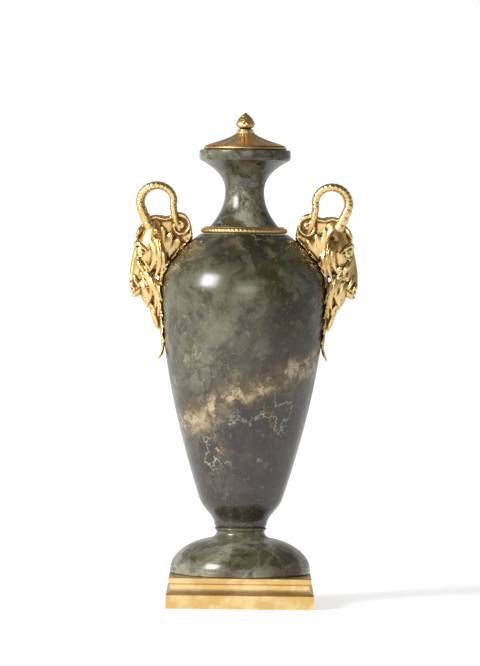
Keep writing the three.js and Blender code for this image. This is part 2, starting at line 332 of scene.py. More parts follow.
def marble(name, offset, turnBy, banded=False, pale=0.0):
    # pale, from 0 to 1, gives more of the light grey-green stone
    look = marbleLook
    material, tree, shader = newMaterial(name)
    place = addNode(tree, "ShaderNodeTexCoord").outputs["Object"]
    mapped = addNode(tree, "ShaderNodeMapping", {"Vector": place, "Location": offset, "Rotation": turnBy})
    broad = useGroup(tree, stoneWarp, {"Vector": mapped.outputs[0], "Scale": 9.0, "Amount": 0.055}).outputs[0]
    close = useGroup(tree, stoneWarp, {"Vector": broad, "Scale": 42.0, "Amount": 0.012}).outputs[0]

    clouds = noiseNode(tree, broad, 21.0, 7, 0.6).outputs["Fac"]
    patches = noiseNode(tree, close, 38.0, 6, 0.62).outputs["Fac"]
    colour = mixColour(tree, ramp(tree, clouds, 0.36, 0.62), look["dark"], look["olive"])
    light = ramp(tree, patches, 0.47 - 0.14 * pale, 0.66 - 0.12 * pale)
    colour = mixColour(tree, light, colour, look["greenGrey"])
    if pale:
        spots = noiseNode(tree, broad, 33.0, 5, 0.6).outputs["Fac"]
        lightest = ramp(tree, spots, 0.66 - 0.22 * pale, 0.80 - 0.16 * pale)
        colour = mixColour(tree, lightest, colour, look["paleGrey"])

    # broken pieces of older stone, each of its own shade, in a darker paste
    cells = {"Vector": close, "Scale": 52.0, "Randomness": 1.0}
    stones = addNode(tree, "ShaderNodeTexVoronoi", cells).outputs["Color"]
    edges = addNode(tree, "ShaderNodeTexVoronoi", cells, feature="DISTANCE_TO_EDGE").outputs["Distance"]
    shade = addNode(tree, "ShaderNodeSeparateColor", {0: stones}).outputs
    greener = mathNode(tree, "MULTIPLY", ramp(tree, shade[0], 0.45, 0.8), ramp(tree, edges, 0.02, 0.12))
    colour = stain(tree, colour, greener, 0.45, look["greenGrey"])
    browner = mathNode(tree, "MULTIPLY", ramp(tree, shade[1], 0.62, 0.85), ramp(tree, edges, 0.02, 0.10))
    colour = stain(tree, colour, browner, 0.6, look["brown"])

    if banded:
        colour = bandedZones(tree, place, colour)

    def veins(vector, scale, width, breaks):
        inputs = {"Vector": vector, "Scale": scale, "Width": width, "Breaks": breaks}
        return useGroup(tree, stoneVeins, inputs).outputs[0]

    # dark seams first, then rusty veins, then thin pale ones
    seams = veins(close, 15.0, 0.016, 0.40)
    rusty = veins(broad, 11.0, 0.014, 0.50)
    threads = veins(mapped.outputs[0], 17.0, 0.010, 0.50)
    colour = stain(tree, colour, seams, 0.75, look["dark"])
    colour = stain(tree, colour, rusty, 0.8, look["rust"])
    colour = stain(tree, colour, threads, 0.75, look["white"])
    fleck = noiseNode(tree, close, 260.0, 3, 0.6).outputs["Fac"]
    colour = stain(tree, colour, ramp(tree, fleck, 0.60, 0.74), 0.28, look["cream"])
    tree.links.new(colour, shader.inputs["Base Color"])

    polish = noiseNode(tree, place, 60.0, 3).outputs["Fac"]
    rough = mathNode(tree, "MULTIPLY_ADD", polish, 0.16, look["roughness"] - 0.06)
    rough = mathNode(tree, "ADD", rough, mathNode(tree, "MULTIPLY", threads, 0.10))
    tree.links.new(rough, shader.inputs["Roughness"])
    shader.inputs["IOR"].default_value = 1.55
    pits = mathNode(tree, "SUBTRACT", fleck, mathNode(tree, "MULTIPLY", seams, 1.2))
    bump = addNode(tree, "ShaderNodeBump", {"Strength": 0.10, "Distance": 0.0004, "Height": pits})
    tree.links.new(bump.outputs[0], shader.inputs["Normal"])
    return material


bandShape = {
    "through": (-0.040, 0.0, 0.166),  # a point in the middle of the tan band
    "facing": (-0.40, 0.10, 0.91),  # the way across it
    "halfWidth": 0.017,
    "pale": (-0.038, -0.062, 0.270),  # middle of the painted light on the upper left side, paler stone where the lamp falls
    "deep": (0.045, -0.060, 0.215),  # middle of the painted shade on the right side, brown stone away from the lamp
}


def bandedZones(tree, place, colour):
    look = marbleLook
    soft = useGroup(tree, stoneWarp, {"Vector": place, "Scale": 17.0, "Amount": 0.045}).outputs[0]
    offset = addNode(tree, "ShaderNodeVectorMath", {0: soft, 1: bandShape["through"]}, operation="SUBTRACT")
    across = addNode(tree, "ShaderNodeVectorMath", {0: offset.outputs[0], 1: bandShape["facing"]},
                     operation="DOT_PRODUCT").outputs["Value"]
    patch = noiseNode(tree, soft, 60.0, 6, 0.65).outputs["Fac"]

    colour = stain(tree, colour, ramp(tree, across, 0.0, -0.03), 0.72, look["violet"])

    def around(point, radius):
        away = addNode(tree, "ShaderNodeVectorMath", {0: soft, 1: point}, operation="DISTANCE")
        return ramp(tree, away.outputs["Value"], radius, radius * 0.25)

    # painted light: paler grey-green on the upper left, where the lamp lights the body, broken up like stone
    pale = mathNode(tree, "MULTIPLY", around(bandShape["pale"], 0.085), ramp(tree, patch, 0.36, 0.60))
    colour = stain(tree, colour, pale, 0.70, look["greenGrey"])
    # painted shade: browner on the right side, away from the lamp, broken up like stone
    deep = mathNode(tree, "MULTIPLY", around(bandShape["deep"], 0.075), ramp(tree, patch, 0.30, 0.55))
    colour = stain(tree, colour, deep, 0.70, look["brown"])

    near = ramp(tree, mathNode(tree, "ABSOLUTE", across), bandShape["halfWidth"], 0.002)
    broken = mathNode(tree, "MULTIPLY", near, ramp(tree, patch, 0.42, 0.58))
    colour = stain(tree, colour, broken, 0.85, look["cream"])
    rim = mathNode(tree, "MULTIPLY", near, ramp(tree, patch, 0.56, 0.40))
    return stain(tree, colour, rim, 0.45, look["rust"])


giltLook = {
    "gold": (0.63, 0.410, 0.152, 1),
    "pale": (0.75, 0.56, 0.275, 1),
    "patinaAndShade": (0.25, 0.140, 0.046, 1),
    "hollowDirtAndShade": (0.060, 0.035, 0.015, 1),
    "roughness": 0.34,
}


def giltBronze(name, grain=1.0, hasRelief=True):
    look = giltLook
    material, tree, shader = newMaterial(name)
    place = addNode(tree, "ShaderNodeTexCoord").outputs["Object"]
    relief = 0.5  # neither high nor hollow, for a piece with no such attribute
    if hasRelief:
        relief = addNode(tree, "ShaderNodeAttribute", attribute_name="relief").outputs["Fac"]
    wearAndShade = useGroup(tree, giltWearAndShade, {"Vector": place, "Relief": relief})
    burnishAndHighlight, patinaAndShade, fine, cloud = wearAndShade.outputs
    colour = mixColour(tree, ramp(tree, cloud, 0.40, 0.64), look["gold"], look["pale"])
    # real burnish and painted highlight: the pale gold laid on the high parts
    colour = stain(tree, colour, burnishAndHighlight, 0.7, look["pale"])
    # patina and painted shade: darker, duller gold in the hollows, nearly black in the deepest
    colour = stain(tree, colour, patinaAndShade, 0.85, look["patinaAndShade"])
    colour = stain(tree, colour, ramp(tree, patinaAndShade, 0.70, 1.0), 0.6, look["hollowDirtAndShade"])
    tree.links.new(colour, shader.inputs["Base Color"])
    shader.inputs["Metallic"].default_value = 1.0
    rough = mathNode(tree, "MULTIPLY_ADD", burnishAndHighlight, -0.14, look["roughness"])
    rough = mathNode(tree, "MULTIPLY_ADD", patinaAndShade, 0.24, rough)
    rough = mathNode(tree, "MULTIPLY_ADD", cloud, 0.10, rough)
    tree.links.new(rough, shader.inputs["Roughness"])
    bump = addNode(tree, "ShaderNodeBump", {"Strength": 0.22 * grain, "Distance": 0.0003, "Height": fine})
    tree.links.new(bump.outputs[0], shader.inputs["Normal"])
    return material


bodyMarble = marble("bodyMarble", (0.31, 0.12, 0.40), (0.3, 0.2, 0.5), banded=True)
footMarble = marble("footMarble", (1.70, 0.45, 0.22), (0.1, 0.5, 0.2), pale=0.9)
neckMarble = marble("neckMarble", (0.90, 1.60, 0.75), (0.4, 0.1, 0.9), pale=0.45)
castGilt = giltBronze("castGilt", grain=1.0)
turnedGilt = giltBronze("turnedGilt", grain=0.5, hasRelief=False)
print("materials made")


# The marble, turned on a lathe
bodySize = {
    "seat": 24,  # radius where it stands on the foot's stem
    "cupRadius": 39,
    "cupHeight": 99,
    "widest": 286,
    "mouth": 40,
    "wall": 11,
    "opening": 20,
}
bodyLow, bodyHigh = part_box("body")
bodySize["radius"] = bodyHigh.x / mm
bodySize["top"] = bodyHigh.z / mm
bodySize["bottom"] = bodyLow.z / mm

sideCurve = bend(
    (bodySize["cupRadius"], bodySize["cupHeight"]),
    (bodySize["cupRadius"] + 18, bodySize["cupHeight"] + 56),
    (bodySize["radius"] - 3.4, bodySize["widest"] - 68),
    (bodySize["radius"], bodySize["widest"]), 60,
)
shoulderCurve = bend(
    (bodySize["radius"], bodySize["widest"]),
    (bodySize["radius"], bodySize["widest"] + 22),
    (bodySize["radius"] - 16, bodySize["top"] - 15),
    (bodySize["mouth"], bodySize["top"]), 40,
)
skinLine = np.array(sideCurve + shoulderCurve[1:])
skinSteps = np.hypot(*np.diff(skinLine, axis=0).T)
skinRun = np.concatenate([[0], np.cumsum(skinSteps)])
skinRun -= skinRun[len(sideCurve) - 1]  # distances are counted from the widest line


def skin(distance):
    # radius and height of the body's skin, and the way that it faces
    step = 1.5

    def rowAt(column):
        row = skinLine[:, column]
        before, here, after = (np.interp(distance + d, skinRun, row) for d in (-step, 0, step))
        return here, after - before

    r, dr = rowAt(0)
    z, dz = rowAt(1)
    size = math.hypot(dr, dz)
    return r, z, dz / size, -dr / size


def makeBody():
    s = bodySize
    cup = bend((s["seat"], s["bottom"] + 1.5), (s["seat"] + 1, s["bottom"] + 12),
               (s["cupRadius"] - 4, s["cupHeight"] - 14), (s["cupRadius"], s["cupHeight"]), 26)
    # the hollow follows the skin from 12 mm under the mouth to 9 mm over the cup
    start = skinRun[-1] - 12
    end = skinRun[0] + 9
    rows = 24
    inside = []
    for i in range(rows + 1):
        r, z, nr, nz = skin(start + (end - start) * i / rows)
        inside.append((r - s["wall"] * nr, z - s["wall"] * nz))
    r, z = inside[-1]
    hollowFloor = bend((r, z), (r - 2, z - 6), (r - 8, z - 7), (0, z - 7), 10)
    profile = [(0, s["bottom"]), (s["seat"] - 1, s["bottom"])]
    profile += cup + sideCurve[1:] + shoulderCurve[1:]
    profile += [(s["opening"] + 0.6, s["top"]), (s["opening"], s["top"] - 0.6)]
    profile += [(s["opening"], s["top"] - s["wall"] - 3)] + inside + hollowFloor[1:]
    newPiece(turn(profile, 192), "urnBody", bodyMarble, ["body"])


footSize = {"stem": 22, "stemHeight": 66, "cap": 24, "band": 4}


def makeFoot():
    low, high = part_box("foot")
    bottom, top = low.z / mm, high.z / mm
    radius = high.x / mm - 0.4
    stem, stemHeight, cap = footSize["stem"], footSize["stemHeight"], footSize["cap"]
    edge = bottom + footSize["band"]
    dome = bend((radius, edge), (radius, edge + 12),
                (radius - 15, stemHeight - 10), (stem + 9, stemHeight - 6.5), 34)
    rise = bend((stem + 9, stemHeight - 6.5), (stem + 2, stemHeight - 5.5),
                (stem, stemHeight - 3), (stem, stemHeight), 12)
    profile = [(0, bottom), (radius - 0.2, bottom)]
    profile += roundCorner((radius - 0.2, bottom + 0.6), 0.6, -90, 0, 3)
    profile += roundCorner((radius - 0.2, edge - 0.5), 0.6, 0, 80, 3)
    profile += dome + rise[1:]
    profile += roundCorner((cap - 0.9, top - 1.5), 0.9, -90, 90, 8)
    profile += [(cap - 1.6, top), (0, top)]
    newPiece(turn(profile, 176), "urnFoot", footMarble, ["foot"])


neckSize = {"base": 36, "waist": 17.8, "waistHeight": 378, "lipHeight": 406.5, "bore": 12.5, "mouth": 20.8}


def makeNeck():
    low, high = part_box("neck")
    bottom, top = low.z / mm, high.z / mm
    lip = high.x / mm
    base, bore, mouth = neckSize["base"], neckSize["bore"], neckSize["mouth"]
    waist, waistHeight, lipHeight = neckSize["waist"], neckSize["waistHeight"], neckSize["lipHeight"]
    lower = bend((base, bottom + 1), (base - 7, bottom + 9.5),
                 (waist, waistHeight - 18), (waist, waistHeight), 26)
    upper = bend((waist, waistHeight), (waist, waistHeight + 13),
                 (lip - 15, lipHeight - 7.5), (lip - 1, lipHeight), 26)
    throat = bend((mouth, top - 4), (mouth - 3, top - 9),
                  (bore, waistHeight + 20), (bore, waistHeight + 12), 10)
    profile = [(base, bottom)] + lower + upper[1:]
    profile += roundCorner((lip - 1.6, lipHeight + 2.4), 1.6, -55, 0, 4)
    profile += roundCorner((lip - 1.8, top - 1.8), 1.8, 0, 90, 6)
    profile += [(mouth + 0.4, top), (mouth, top - 0.4)] + throat
    profile += [(bore, waistHeight - 14), (bodySize["opening"], bottom)]
    newPiece(turn(profile, 144, closed=True), "urnNeck", neckMarble, ["neck"])


makeBody()
makeFoot()
makeNeck()
print("marble turned")


# The gilded pieces round the axis
plinthSize = {"fascia": 13, "shelf": 1.6, "coveHalf": 62.6, "topHalf": 64.8, "hollow": 8}


def makePlinth():
    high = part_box("plinth")[1]
    half, height = high.x / mm, high.z / mm
    fascia, coveHalf, topHalf = plinthSize["fascia"], plinthSize["coveHalf"], plinthSize["topHalf"]
    reach = half - plinthSize["shelf"] - coveHalf
    hollow = plinthSize["hollow"]
    steps = 12
    cove = []
    for i in range(steps + 1):
        a = i / steps * math.pi / 2
        cove.append((coveHalf + reach * (1 - math.sin(a)), fascia + 1 + hollow * (1 - math.cos(a))))
    profile = [(0, 0), (half - 0.4, 0), (half, 0.4), (half, fascia - 0.8)]
    profile += [(half - 0.3, fascia - 0.3), (half - 0.8, fascia)] + cove
    profile += [(topHalf - 1, fascia + 1 + hollow), (topHalf, fascia + 2 + hollow)]
    profile += [(topHalf, height - 0.5), (topHalf - 0.5, height), (0, height)]
    # four turning steps make it square, then it is turned to face the front
    bm = turn([(r * math.sqrt(2), z) for r, z in profile], 4)
    bmesh.ops.rotate(bm, verts=bm.verts, cent=(0, 0, 0), matrix=Matrix.Rotation(math.pi / 4, 3, "Z"))
    newPiece(bm, "urnPlinth", turnedGilt, ["plinth"], sharp=25)


collarSize = {"inner": 36.3, "swell": 2.1, "beads": 64, "cut": 0.55}


def makeCollar():
    low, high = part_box("collar_ring")
    bottom, top, radius = low.z / mm, high.z / mm, high.x / mm
    inner, swell, beads = collarSize["inner"], collarSize["swell"], collarSize["beads"]
    centre = (radius - swell, bottom + 2.6)
    profile = [(inner, bottom), (centre[0], bottom)]
    profile += roundCorner(centre, swell, -85, 85, 14)
    profile += [(inner + 0.9, top - 1.2), (inner + 0.6, top - 0.4), (inner + 0.2, top)]
    bm = turn(profile, beads * 8, closed=True)
    # slanting cuts make a row of twisted beads of the swell
    inmost = centre[0] - 0.2
    for v in bm.verts:
        r = math.hypot(v.co.x, v.co.y) / mm
        if r > inmost:
            lean = (v.co.z / mm - centre[1]) * 0.35
            a = math.atan2(v.co.y, v.co.x) * beads / 2 + lean
            cut = collarSize["cut"] * (1 - abs(math.sin(a)) ** 0.6) * min(1, (r - inmost) / 1.2)
            v.co.xy *= 1 - cut / r
    piece = newPiece(bm, "urnCollar", castGilt, ["collar_ring"], sharp=60)
    markHollows(piece.data, (2, 4))


lidSize = {"edge": 2.4, "crown": 8.4, "spigot": 20.5, "spigotDepth": 3, "petals": 16, "relief": 0.8}


def makeLid():
    low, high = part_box("lid")
    top, radius = high.z / mm, high.x / mm
    edge, crown, spigot, depth = (lidSize[key] for key in ("edge", "crown", "spigot", "spigotDepth"))
    seat = low.z / mm + depth
    height = top - seat
    slope = bend((radius - 1, seat + edge + 0.9), (radius - 12, seat + edge + 4.2),
                 (crown + 5.5, seat + height - 7), (crown, seat + height - 1.5), 44)
    profile = [(0, seat - depth), (spigot - 0.8, seat - depth), (spigot, seat - 2.2), (spigot, seat)]
    profile += [(radius - 0.5, seat)] + roundCorner((radius - 1.1, seat + edge / 2), edge / 2, -85, 85, 8)
    profile += [(radius - 2.2, seat + edge)] + slope
    profile += [(crown, top - 0.3), (crown - 0.4, top), (0, top)]
    bm = turn(profile, 256)
    # low petals down the slope, each with a fine rib, and a groove between two
    for v in bm.verts:
        r = math.hypot(v.co.x, v.co.y) / mm
        z = v.co.z / mm
        if z > seat + edge + 0.3 and crown + 0.3 < r < radius - 1.5:
            run = (r - crown) / (radius - crown)
            a = math.atan2(v.co.y, v.co.x) * lidSize["petals"] / (2 * math.pi)
            leaf = abs((a % 1) - 0.5) * 2
            shape = math.sin(math.pi * min(1, run * 1.05)) ** 0.5
            petal = 0.55 * (1 - leaf ** 2) + 0.25 * (leaf < 0.12) - 0.35 * (leaf > 0.88)
            v.co.z += lidSize["relief"] * mm * shape * petal
    piece = newPiece(bm, "urnLid", castGilt, ["lid"], sharp=50)
    markHollows(piece.data, (2, 6))


finialSize = {"stem": 5.6, "bulb": 8.0, "scales": 10, "rows": 5.5}


def makeFinial():
    low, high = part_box("finial")
    bottom, top = low.z / mm, high.z / mm
    stem, bulb, scales = finialSize["stem"], finialSize["bulb"], finialSize["scales"]
    bud = bend((stem, bottom + 3), (bulb + 3.6, bottom + 4), (bulb + 0.6, bottom + 11), (2, top - 1.2), 60)
    profile = [(0, bottom), (stem + 1.8, bottom)] + roundCorner((stem + 1.3, bottom + 0.8), 0.75, -80, 80, 6)
    profile += [(stem - 0.4, bottom + 2)] + bud
    profile += [(1.2, top - 0.35), (0.5, top), (0, top)]
    bm = turn(profile, scales * 16)
    # overlapping scales, every other row shifted by half a scale, that fade out at the tip
    first = bottom + 3.4
    for v in bm.verts:
        r = math.hypot(v.co.x, v.co.y) / mm
        z = v.co.z / mm
        if r > 0.5 and z > first:
            rise = (z - first) / (top - first)
            row = rise * finialSize["rows"]
            half = (math.floor(row) % 2) * 0.5
            a = (math.atan2(v.co.y, v.co.x) * scales / (2 * math.pi) + half) % 1 - 0.5
            up = row % 1
            lobe = max(0.0, 1 - (2.1 * abs(a)) ** 2 - 0.9 * up ** 2)
            v.co.xy *= 1 + (0.085 * lobe - 0.075) * min(1, (1 - rise) * 3)
    piece = newPiece(bm, "urnFinial", castGilt, ["finial"], sharp=70)
    markHollows(piece.data, (2, 5))


makePlinth()
makeCollar()
makeLid()
makeFinial()
print("gilding turned")


# The goat mask handles, in millimetres on the right side, facing +X
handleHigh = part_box("handle_right")[1] / mm
# the numbers below are those of a handle that reaches 104.6 out and 386.6 up
shift = Vector((handleHigh.x - 104.6, 0, handleHigh.z - 386.6))


def moved(stations):
    return [[p[0] + shift.x, p[1], p[2] + shift.z, *p[3:]] for p in stations]


def tuft(bm, points, width, depth, around=10, along=16, level=(0, 1, 0), blunt=0.0, strands=0):
    # a lock of hair or a small fold: it swells soon and tapers to its tip
    stations = []
    for i in range(9):
        t = i / 8
        size = math.sin(math.pi * (0.14 + 0.86 * t ** 0.85)) ** 0.75
        size = max(size, 0.10 + blunt * t)
        stations.append(routeAt(points, t) + [width * size, depth * size])

    def comb(u, v):
        return 1 + 0.13 * math.cos(2 * math.pi * (strands * u + 0.35 * math.sin(5 * v)))

    limb(bm, stations, around, along, level, comb if strands else None)


def onSkin(distance, across, lift):
    # a point over the marble: distance up from its widest line, across from the handle's middle
    r, z, nr, nz = skin(distance)
    a = across / max(r, 1)
    out = r + nr * lift
    return Vector((out * math.cos(a), out * math.sin(a), z + nz * lift))


acanthus = {  # each leaf runs from one distance along the skin to another
    "shoulder": {"from": 10, "to": 61, "halfWidth": 20.5, "pairs": 3, "curl": 1.6, "low": 0.24},
    "side": {"from": 22, "to": -61, "halfWidth": 23.5, "pairs": 5, "curl": 4.6, "low": 0.12},
}


def leafTaper(t, low):
    return math.sin(math.pi * (low + (0.97 - low) * t)) ** 0.6


def acanthusLeaf(bm, leaf):
    span = leaf["to"] - leaf["from"]
    pairs = leaf["pairs"]

    def curl(t):
        return leaf["curl"] * max(0.0, (t - 0.84) / 0.16) ** 2

    def halfWidthAt(t):
        return leaf["halfWidth"] * leafTaper(min(1.0, t), leaf["low"])

    def sheet(u, v):
        # the web of the leaf, with a raised rib up the middle
        w = math.cos(2 * math.pi * u)
        face = math.sin(2 * math.pi * u)
        half = halfWidthAt(v) * (0.66 + 0.10 * math.cos(2 * math.pi * (v * pairs / 0.86 + 0.1)))
        rib = 1.7 * math.exp(-(w * half / 1.9) ** 2)
        lift = 0.35 + (0.8 + rib) * max(0.0, face) ** 0.5
        return onSkin(leaf["from"] + span * v * 0.97, w * half, lift + curl(v * 0.97))

    tube(bm, 44, 64, sheet)

    def finger(start, end, width, rise):
        # one spoon-shaped finger of a lobe, from start to end as (share along, distance across)
        run = Vector(((end[0] - start[0]) * span, end[1] - start[1]))
        square = Vector((-run.y, run.x)).normalized()

        def place(u, v):
            bow = 0.22 * math.sin(math.pi * v)
            along = start[0] * span + run.x * v - bow * math.copysign(run.length * 0.25, span)
            across = start[1] + run.y * v
            half = width * math.sin(math.pi * (0.09 + 0.88 * v ** 0.9)) ** 0.62
            c, s = math.cos(2 * math.pi * u), math.sin(2 * math.pi * u)
            t = along / span
            lift = 0.5 + rise * v ** 1.5 + curl(t)
            lift += 0.9 * s + 0.9 * c * c * min(1.0, v * 2) if s > 0 else 0.4 * s
            return onSkin(leaf["from"] + along + square.x * c * half, across + square.y * c * half, lift)

        tube(bm, 16, 22, place)

    for i in range(pairs):
        t = (i + 0.12) / pairs * 0.86
        for side in (-1, 1):
            base = (t, side * 0.8)
            far = min(0.97, t + 0.27)
            # the lobe's fan of fingers: the outer one low, the inner one nearly along the rib
            finger(base, (far - 0.09, side * halfWidthAt(far) * 0.98), 2.9, 1.0)
            finger((t + 0.02, side * 0.8), (far, side * halfWidthAt(far) * 0.86), 3.1, 1.7)
            finger((t + 0.05, side * 0.8), (far + 0.045, side * halfWidthAt(far) * 0.60), 2.7, 1.3)
    finger((0.66, 0), (0.97, -5.0), 2.7, 1.2)
    finger((0.66, 0), (0.97, 5.0), 2.7, 1.2)
    finger((0.60, 0), (1.0, 0), 3.6, 2.0)


hornShape = {"centre": (80, 367.3), "radius": 15.4, "thick": 4.3, "spread": 11, "rings": 22}


def addHorns(bm):
    # the horns rise from the brow, arch over and come down behind, widest apart at the top
    s = hornShape
    radius = s["radius"]
    x, z = s["centre"]

    def swell(u, v):
        ring = abs(math.sin(math.pi * s["rings"] * v ** 0.95)) ** 0.5
        fade = min(1, (1 - v) * 6)
        return 1.03 - 0.17 * (1 - ring) * fade + 0.04 * math.cos(4 * math.pi * u)

    for side in (-1, 1):
        stations = [[83.6, side * 6, 338, 5.4, 5.2], [89.2, side * 6.5, 350, 4.9, 4.9]]
        for i in range(9):
            a = math.radians(-15 + 210 * i / 8)
            spread = side * (s["spread"] - 3.5 * math.cos(a) ** 2)
            thick = s["thick"] - 0.9 * i / 8
            stations.append([x + radius * math.cos(a), spread, z + radius * math.sin(a), thick, thick])
        stations += [[62.6, side * 6, 350.3, 3.1, 3.2], [58.8, side * 5, 341.5, 1.8, 2.0]]
        limb(bm, moved(stations), 28, 330, swell=swell)


skull = [  # down the middle of the head, from the crown to the muzzle
    [76, 0, 350, 5, 4], [80.5, 0, 345, 10.5, 9.5], [83.5, 0, 336, 13.3, 11.8],
    [86.3, 0, 326, 13.9, 12.2], [89.8, 0, 313, 10.8, 11.8], [94.2, 0, 300, 7.8, 9.0],
    [96.2, 0, 291, 7.0, 7.0], [96.4, 0, 284.5, 5.6, 4.8], [96.2, 0, 281.5, 3, 2.6],
]


def ball(bm, centre, radii, around=20, along=14):
    # a flattened ball, turned upright
    def place(u, v):
        a, b = 2 * math.pi * u, math.pi * v
        return Vector((
            centre[0] + radii[0] * math.cos(a) * math.sin(b),
            centre[1] + radii[1] * math.sin(a) * math.sin(b),
            centre[2] + radii[2] * math.cos(b)))

    tube(bm, around, along, place)


def addHead(bm):
    limb(bm, moved(skull), 44, 70)
    limb(bm, moved([[70, 0, 312, 12.6, 15.6], [80, 0, 312, 11.6, 13.6], [89, 0, 308, 7, 8]]), 30, 16)
    # the ridge of the nose, bowed out a little, and the split upper lip under the nose pad
    limb(bm, moved([[96.0, 0, 336, 3.4, 1.5], [98.9, 0, 324, 3.8, 1.9], [101.4, 0, 311, 3.6, 2.1],
                    [103.0, 0, 299, 3.4, 1.9], [103.0, 0, 291, 3.6, 1.6]]), 20, 40)
    ball(bm, moved([[100.4, 0, 290.4]])[0], (4.1, 5.4, 3.4))
    ball(bm, moved([[99.6, 0, 281.7]])[0], (3.2, 3.6, 1.9))
    for side in (-1, 1):
        # brow, eyeball and lids
        tuft(bm, moved([[98.6, side * 3.0, 324.5], [98.8, side * 7.6, 329.2], [95.4, side * 12.4, 328.6],
                        [88.0, side * 15.2, 321.6]]), 2.5, 2.2, blunt=0.3, level=(0, 0, 1))
        ball(bm, moved([[94.4, side * 10.3, 321.6]])[0], (3.7, 3.6, 3.3))
        tuft(bm, moved([[98.2, side * 6.2, 319.6], [98.4, side * 9.2, 324.3], [95.0, side * 13.0, 324.3],
                        [90.2, side * 14.8, 319.4]]), 1.2, 1.2, level=(0, 0, 1), blunt=0.4)
        tuft(bm, moved([[98.6, side * 6.0, 319.2], [97.4, side * 9.4, 317.3], [94.0, side * 12.8, 317.6],
                        [90.2, side * 14.6, 319.2]]), 1.1, 1.1, level=(0, 0, 1), blunt=0.4)
        # cheekbone, muzzle folds, nostril wings and the halves of the upper lip
        tuft(bm, moved([[97.6, side * 6.4, 315.5], [95.6, side * 10.2, 311], [91.4, side * 11.4, 304],
                        [90.6, side * 9.4, 296]]), 3.0, 2.6)
        tuft(bm, moved([[100.6, side * 4.6, 302], [99.2, side * 7.0, 297], [96.4, side * 8.0, 291],
                        [93.4, side * 7.6, 286]]), 2.0, 1.8)
        tuft(bm, moved([[102.6, side * 1.6, 293.6], [102.8, side * 4.6, 293.0], [101.6, side * 6.6, 290.0],
                        [99.4, side * 6.4, 287.4]]), 1.9, 1.7, blunt=0.5)
        ball(bm, moved([[99.6, side * 3.0, 286.0]])[0], (3.9, 3.5, 2.6))
        addEar(bm, side)


def addEar(bm, side):
    # a cupped ear, which hangs out and down
    route = moved([[82, side * 9, 337.5], [77.5, side * 17, 335.5],
                   [75.5, side * 25, 328.5], [76.2, side * 31, 318.5]])

    def place(u, v):
        x, y, z = routeAt(route, v)
        half = 6.6 * math.sin(math.pi * (0.16 + 0.82 * v)) ** 0.8 + 0.3
        c, s = math.cos(2 * math.pi * u), math.sin(2 * math.pi * u)
        cup = 3.2 * c * c * math.sin(math.pi * min(1, v * 1.1))
        thick = 1.2 if s > 0 else 1.0
        ahead = routeAt(route, min(1, v + 0.02))
        behind = routeAt(route, max(0, v - 0.02))
        run = Vector((0, ahead[1] - behind[1], ahead[2] - behind[2])).normalized()
        up = Vector((0, -run.z, run.y)) * side
        return Vector((x + cup + s * thick - 0.8, y, z)) + up * (c * half)

    tube(bm, 30, 38, place)


beardRoute = [[87.5, 0, 293, 5.6, 9.0], [83.5, 0, 281, 5.8, 8.6], [79.4, 0, 270, 4.8, 4.8],
              [77.6, 0, 259, 3.6, 3.2], [76.4, 0, 250.5, 2.0, 1.8]]
beardRows = (  # number of locks, then where they start along the core and how far they run
    (4, 0.46, 0.54), (5, 0.26, 0.50), (7, 0.06, 0.46), (6, -0.10, 0.36),
)
# long locks behind and under the cheek, from the ear down to the beard
maneLocks = [
    [[85, 12.6, 333], [81.5, 15.2, 322], [82.5, 14.4, 311], [87.5, 12.0, 301.5]],
    [[81, 12.8, 334], [77.0, 15.8, 322], [77.5, 15.4, 309], [82.0, 13.0, 296]],
    [[77.5, 12.0, 332], [73.2, 15.2, 320], [73.2, 15.0, 307], [77.0, 13.2, 292]],
    [[91, 10.4, 307], [87.4, 12.8, 299], [84.0, 12.6, 288], [86.0, 9.4, 276]],
    [[86.5, 12.2, 302], [82.4, 14.0, 292], [79.6, 13.0, 281], [81.0, 9.6, 269]],
    [[81.5, 12.8, 297], [78.2, 14.4, 287], [76.6, 13.0, 275], [78.4, 9.0, 262]],
    [[93.6, 8.0, 296], [90.6, 10.4, 289], [87.0, 10.0, 280], [88.6, 6.4, 270]],
]
foreLocks = (  # how far each leans to a side, and the height of its tip
    (-1.0, 334.5), (1.0, 335.0), (-0.62, 331.0), (0.62, 330.5), (-0.2, 327.5), (0.3, 329.0),
)


